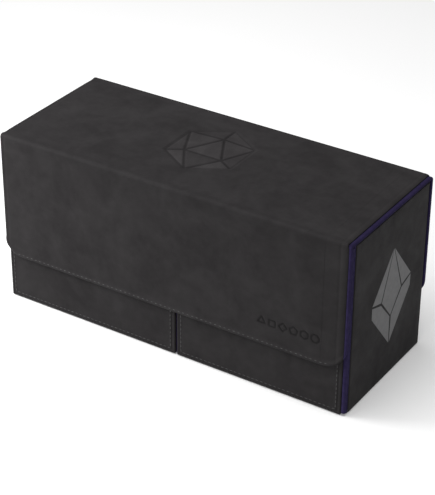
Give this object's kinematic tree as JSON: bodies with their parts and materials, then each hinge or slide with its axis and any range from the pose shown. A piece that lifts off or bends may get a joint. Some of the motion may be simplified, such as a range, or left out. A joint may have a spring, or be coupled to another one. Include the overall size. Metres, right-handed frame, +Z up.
{
  "type": "miniature carry case",
  "caption": "Rigid leather-covered box with a folding magnetic cover over lift-out trays, for carrying gaming miniatures or sleeved cards.",
  "frame": {"origin": "centre of the box's footprint, on the surface that it stands on", "axes": "+X along the length, +Y from the front leaves to the back, +Z up"},
  "size_m": [0.226, 0.092, 0.107],
  "materials": {
    "leather_cloth": "soft matt black leather cloth with a faint mottle",
    "binding": "dark purple microfibre binding",
    "microfibre": "dark purple microfibre lining",
    "grey_board": "grey board",
    "tray_board": "black covered board",
    "foam": "purple faced foam",
    "magnet": "nickel plated disc magnet"
  },
  "bodies": {
    "case": {"back_board": "tray_board", "back_keeper_1": "magnet", "back_keeper_2": "magnet", "base_board": "grey_board", "base_skin": "leather_cloth", "body_wrap": "leather_cloth", "left_end_board": "tray_board", "partition": "tray_board", "right_end_board": "tray_board"},
    "rear_flap": {"rear_flap_binding_left": "binding", "rear_flap_binding_right": "binding", "rear_flap_board": "grey_board", "rear_flap_lining": "microfibre", "rear_flap_magnet_1": "magnet", "rear_flap_magnet_2": "magnet", "rear_flap_skin": "leather_cloth", "rear_fold": "leather_cloth"},
    "lid": {"front_fold": "leather_cloth", "lid_binding_left": "binding", "lid_binding_right": "binding", "lid_board": "grey_board", "lid_lining": "microfibre", "lid_skin": "leather_cloth"},
    "front_flap": {"front_flap_binding_left": "binding", "front_flap_binding_right": "binding", "front_flap_board": "grey_board", "front_flap_lining": "microfibre", "front_flap_magnet_1": "magnet", "front_flap_magnet_2": "magnet", "front_flap_magnet_3": "magnet", "front_flap_magnet_4": "magnet", "front_flap_skin": "leather_cloth"},
    "left_tray": {"left_leaf_binding": "binding", "left_leaf_board": "grey_board", "left_leaf_keeper_1": "magnet", "left_leaf_keeper_2": "magnet", "left_leaf_lining": "microfibre", "left_leaf_skin": "leather_cloth", "left_tray_box": "tray_board", "left_tray_lining": "microfibre", "left_tray_pad": "foam"},
    "right_tray": {"right_leaf_binding": "binding", "right_leaf_board": "grey_board", "right_leaf_keeper_1": "magnet", "right_leaf_keeper_2": "magnet", "right_leaf_lining": "microfibre", "right_leaf_skin": "leather_cloth", "right_tray_box": "tray_board", "right_tray_lining": "microfibre", "right_tray_pad": "foam"},
    "left_divider": {"left_divider": "foam"},
    "right_divider": {"right_divider": "foam"}
  },
  "joints": [
    {"name": "cover_lift", "type": "slide", "parent": "case", "child": "rear_flap", "axis": [0, 0, 1], "range_m": [0, 0.12]},
    {"name": "lid_hinge", "type": "hinge", "parent": "rear_flap", "child": "lid", "pos_m": [0, 0.04525, 0.10625], "axis": [-1, 0, 0], "range_deg": [0, 180]},
    {"name": "flap_fold", "type": "hinge", "parent": "lid", "child": "front_flap", "pos_m": [0, -0.04525, 0.10625], "axis": [-1, 0, 0], "range_deg": [0, 90]},
    {"name": "left_tray_lift", "type": "slide", "parent": "case", "child": "left_tray", "axis": [0, 0, 1], "range_m": [0, 0.06]},
    {"name": "right_tray_lift", "type": "slide", "parent": "case", "child": "right_tray", "axis": [0, 0, 1], "range_m": [0, 0.06]},
    {"name": "left_divider_slide", "type": "slide", "parent": "left_tray", "child": "left_divider", "axis": [1, 0, 0], "range_m": [-0.04, 0.04]},
    {"name": "right_divider_slide", "type": "slide", "parent": "right_tray", "child": "right_divider", "axis": [1, 0, 0], "range_m": [-0.04, 0.04]}
  ],
  "couplings": [
    {"joint": "left_tray_lift", "follows": "cover_lift", "ratio": 0.5},
    {"joint": "right_tray_lift", "follows": "cover_lift", "ratio": 0.5}
  ]
}
